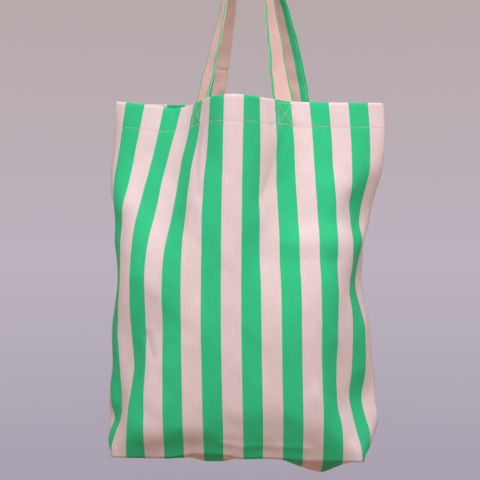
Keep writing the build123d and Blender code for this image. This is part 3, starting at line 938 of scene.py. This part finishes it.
def sewing_thread():
    """Cotton sewing thread, twisted: matt, with a slanting ply and small changes of shade."""
    made, tree, shader = finish("sewing_thread")
    place = add(tree, "ShaderNodeTexCoord", {}, "Object")
    ply = add(
        tree, "ShaderNodeTexWave", {"Vector": place, "Scale": PLY_BANDS, "Distortion": 1.0}, "Fac",
        bands_direction="DIAGONAL",
    )
    shade = add(tree, "ShaderNodeTexNoise", {"Vector": place, "Scale": THREAD_SHADES})
    tint = add(
        tree, "ShaderNodeMix", {0: shade, 6: linear(THREAD_PINK), 7: linear(THREAD_SHADE)}, 2,
        data_type="RGBA",
    )
    tree.links.new(tint, shader.inputs["Base Color"])
    bump = add(tree, "ShaderNodeBump", {"Strength": 0.3, "Distance": 0.0001, "Height": ply})
    tree.links.new(bump, shader.inputs["Normal"])
    rough = add(tree, "ShaderNodeMapRange", {"Value": ply, "To Min": 0.7, "To Max": 0.85})
    tree.links.new(rough, shader.inputs["Roughness"])
    shader.inputs["Specular IOR Level"].default_value = 0.25
    return made


def raw_edge():
    """Cotton canvas, cut and frayed at a seam's edge: pale, dull and hairy."""
    made, tree, shader = finish("raw_canvas_edge")
    place = add(tree, "ShaderNodeTexCoord", {}, "Object")
    fray = add(tree, "ShaderNodeTexNoise", {"Vector": place, "Scale": FRAY, "Detail": 3.0})
    tint = add(
        tree, "ShaderNodeMix", {0: fray, 6: linear(RAW_EDGE_SHADE), 7: linear(RAW_EDGE_LIGHT)}, 2,
        data_type="RGBA",
    )
    tree.links.new(tint, shader.inputs["Base Color"])
    bump = add(tree, "ShaderNodeBump", {"Strength": 0.4, "Distance": 0.0003, "Height": fray})
    tree.links.new(bump, shader.inputs["Normal"])
    rough = add(tree, "ShaderNodeMapRange", {"Value": fray, "To Min": 0.85, "To Max": 0.97})
    tree.links.new(rough, shader.inputs["Roughness"])
    return made


canvas = striped_canvas()
strap_cloth = strap_canvas()
thread = sewing_thread()
edge_cloth = raw_edge()


def dress(made, materials, slot, body, *nodes):
    """Gives a piece its materials and hides the nodes it stands for; a piece of the bag is hung on the
    bag's body, and any other is fixed where it is. The slot is not used.
    """
    for material in materials:
        made.data.materials.append(material)
    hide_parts(*nodes)
    if body == "bag":
        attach(made, "bag")
    else:
        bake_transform(made)


for side, name in SIDES.items():
    cloth = panel(side)
    dress(cloth, [canvas], "striped_canvas", "bag", f"{name}_panel", f"{name}_hem_facing")
    hem_row = hem_stitches(side)
    dress(hem_row, [thread], "pale_thread", "bag", f"{name}_hem_stitching")
    ends = [f"{name}_{hand}_strap_end" for hand in HANDS.values()]
    strap_nodes = [f"{name}_handle", f"{name}_strap_roots", *ends]
    dress(strap(side), [strap_cloth], "strap_canvas", f"{name}_handle", *strap_nodes)
    dress(strap_stitches(side), [thread], "pale_thread", f"{name}_handle", f"{name}_handle_stitching")
    for hand, hand_name in HANDS.items():
        dress(box_stitches(side, hand), [thread], "pale_thread", "bag", f"{name}_{hand_name}_box_stitch")

for hand, name in HANDS.items():
    dress(side_overlock(hand), [edge_cloth, thread], "overlock_thread", "bag", f"{name}_side_overlock")
    dress(corner_overlock(hand), [edge_cloth, thread], "overlock_thread", "bag", f"{name}_corner_overlock")
dress(base_overlock(), [edge_cloth, thread], "overlock_thread", "bag", "base_overlock")


# Floor and backdrop
FLOOR_Z = -2000.0
FLOOR_RADIUS = 4500.0
FLOOR_SIDES = 64
FLOOR_PALE_SHARE = 0.8


def seen_directly(tree):
    """1 where floor or backdrop is looked at, mirrored or seen through, 0 where it lights the bag."""
    seen = add(tree, "ShaderNodeLightPath", {}, "Is Camera Ray")
    mirrored = add(tree, "ShaderNodeLightPath", {}, "Is Glossy Ray")
    passed = add(tree, "ShaderNodeLightPath", {}, "Is Transmission Ray")
    either = add(tree, "ShaderNodeMath", {0: seen, 1: mirrored}, operation="MAXIMUM")
    return add(tree, "ShaderNodeMath", {0: either, 1: passed}, operation="MAXIMUM")


def studio_floor():
    """Round floor well below the hanging bag, of smooth rolled paper: dull, and faintly mottled."""
    points = []
    for angle in np.linspace(0, 2 * math.pi, FLOOR_SIDES, endpoint=False):
        points.append((FLOOR_RADIUS * math.cos(angle), FLOOR_RADIUS * math.sin(angle), FLOOR_Z))
    made = piece("studio_floor", points, [list(range(FLOOR_SIDES))])
    paper, tree, shader = finish("floor_paper")
    place = add(tree, "ShaderNodeTexCoord", {}, "Object")
    mottle = add(tree, "ShaderNodeTexNoise", {"Vector": place, "Scale": 3.0, "Detail": 2.0})
    tint = add(
        tree, "ShaderNodeMix", {0: mottle, 6: linear("D4AC8E"), 7: linear("DCB698")}, 2,
        data_type="RGBA",
    )
    tree.links.new(tint, shader.inputs["Base Color"])
    shader.inputs["Roughness"].default_value = 0.9
    share = add(
        tree, "ShaderNodeMath", {0: seen_directly(tree), 1: FLOOR_PALE_SHARE},
        operation="MULTIPLY",
    )
    pale = add(tree, "ShaderNodeEmission", {"Color": linear("BDB3BC")})
    surface = add(tree, "ShaderNodeMixShader", {0: share, 1: shader.outputs["BSDF"], 2: pale})
    tree.links.new(surface, tree.nodes["Material Output"].inputs["Surface"])
    made.data.materials.append(paper)


def studio_world():
    """Soft light from above, and a plain lilac-grey backdrop where the camera looks past the bag."""
    made = bpy.data.worlds.new("studio")
    made.use_nodes = True
    tree = made.node_tree
    heading = add(tree, "ShaderNodeTexCoord", {}, "Generated")
    height = add(tree, "ShaderNodeSeparateXYZ", {0: heading}, "Z")
    strength = add(tree, "ShaderNodeMapRange", {
        "Value": height, "From Min": -0.6, "From Max": 0.6, "To Min": 0.02, "To Max": 0.24,
    })
    light = add(tree, "ShaderNodeBackground", {"Strength": strength, "Color": (1.0, 1.0, 1.0, 1.0)})
    lower = add(tree, "ShaderNodeMapRange", {"Value": height, "From Min": -0.22, "From Max": 0.0})
    upper = add(tree, "ShaderNodeMapRange", {"Value": height, "From Min": 0.0, "From Max": 0.24})
    low_tint = add(
        tree, "ShaderNodeMix", {0: lower, 6: linear("A89FAF"), 7: linear("BCB3BF")}, 2,
        data_type="RGBA",
    )
    tint = add(
        tree, "ShaderNodeMix", {0: upper, 6: low_tint, 7: linear("B8AAAB")}, 2,
        data_type="RGBA",
    )
    backdrop = add(tree, "ShaderNodeBackground", {"Color": tint})
    surface = add(tree, "ShaderNodeMixShader", {0: seen_directly(tree), 1: light, 2: backdrop})
    tree.links.new(surface, tree.nodes["World Output"].inputs["Surface"])
    bpy.context.scene.world = made


def lamp(name, place, target, size, power):
    """Soft rectangular lamp, in metres and watts."""
    light = bpy.data.lights.new(name, "AREA")
    light.shape = "RECTANGLE"
    light.size, light.size_y = size
    light.energy = power
    made = bpy.data.objects.new(name, light)
    made.location = place
    made.rotation_euler = (Vector(target) - Vector(place)).to_track_quat("-Z", "Y").to_euler()
    bpy.context.scene.collection.objects.link(made)


studio_floor()
studio_world()
lamp("key", (0.0, -1.4, 0.95), (0.0, 0.0, -0.25), (1.6, 1.0), 23)
lamp("left_fill", (-1.3, -1.3, 0.7), (0.0, 0.0, -0.2), (1.2, 1.2), 14.5)
lamp("right_fill", (1.3, -1.3, 0.7), (0.0, 0.0, -0.2), (1.2, 1.2), 15.5)
lamp("back_fill", (0.4, 1.9, 0.9), (0.0, 0.0, -0.35), (1.6, 1.0), 26)

# Camera in front of the bag's middle, its horizon a little below the middle of the picture
CAMERA_PLACE = (-9.0, -1340.0, -454.7)
FOCAL_PIXELS = 1020.0
PICTURE_PIXELS = 480.0
HORIZON_ROW = 262.0
SENSOR = 36.0
view = bpy.data.cameras.new("camera")
view.sensor_width = SENSOR
view.sensor_fit = "HORIZONTAL"
view.lens = FOCAL_PIXELS / PICTURE_PIXELS * SENSOR
view.shift_y = (HORIZON_ROW - PICTURE_PIXELS / 2) / PICTURE_PIXELS
camera = bpy.data.objects.new("camera", view)
camera.location = [c * MM for c in CAMERA_PLACE]
camera.rotation_euler = (math.radians(90), 0, 0)
bpy.context.scene.collection.objects.link(camera)
bpy.context.scene.camera = camera
bpy.context.scene.view_settings.view_transform = "Standard"
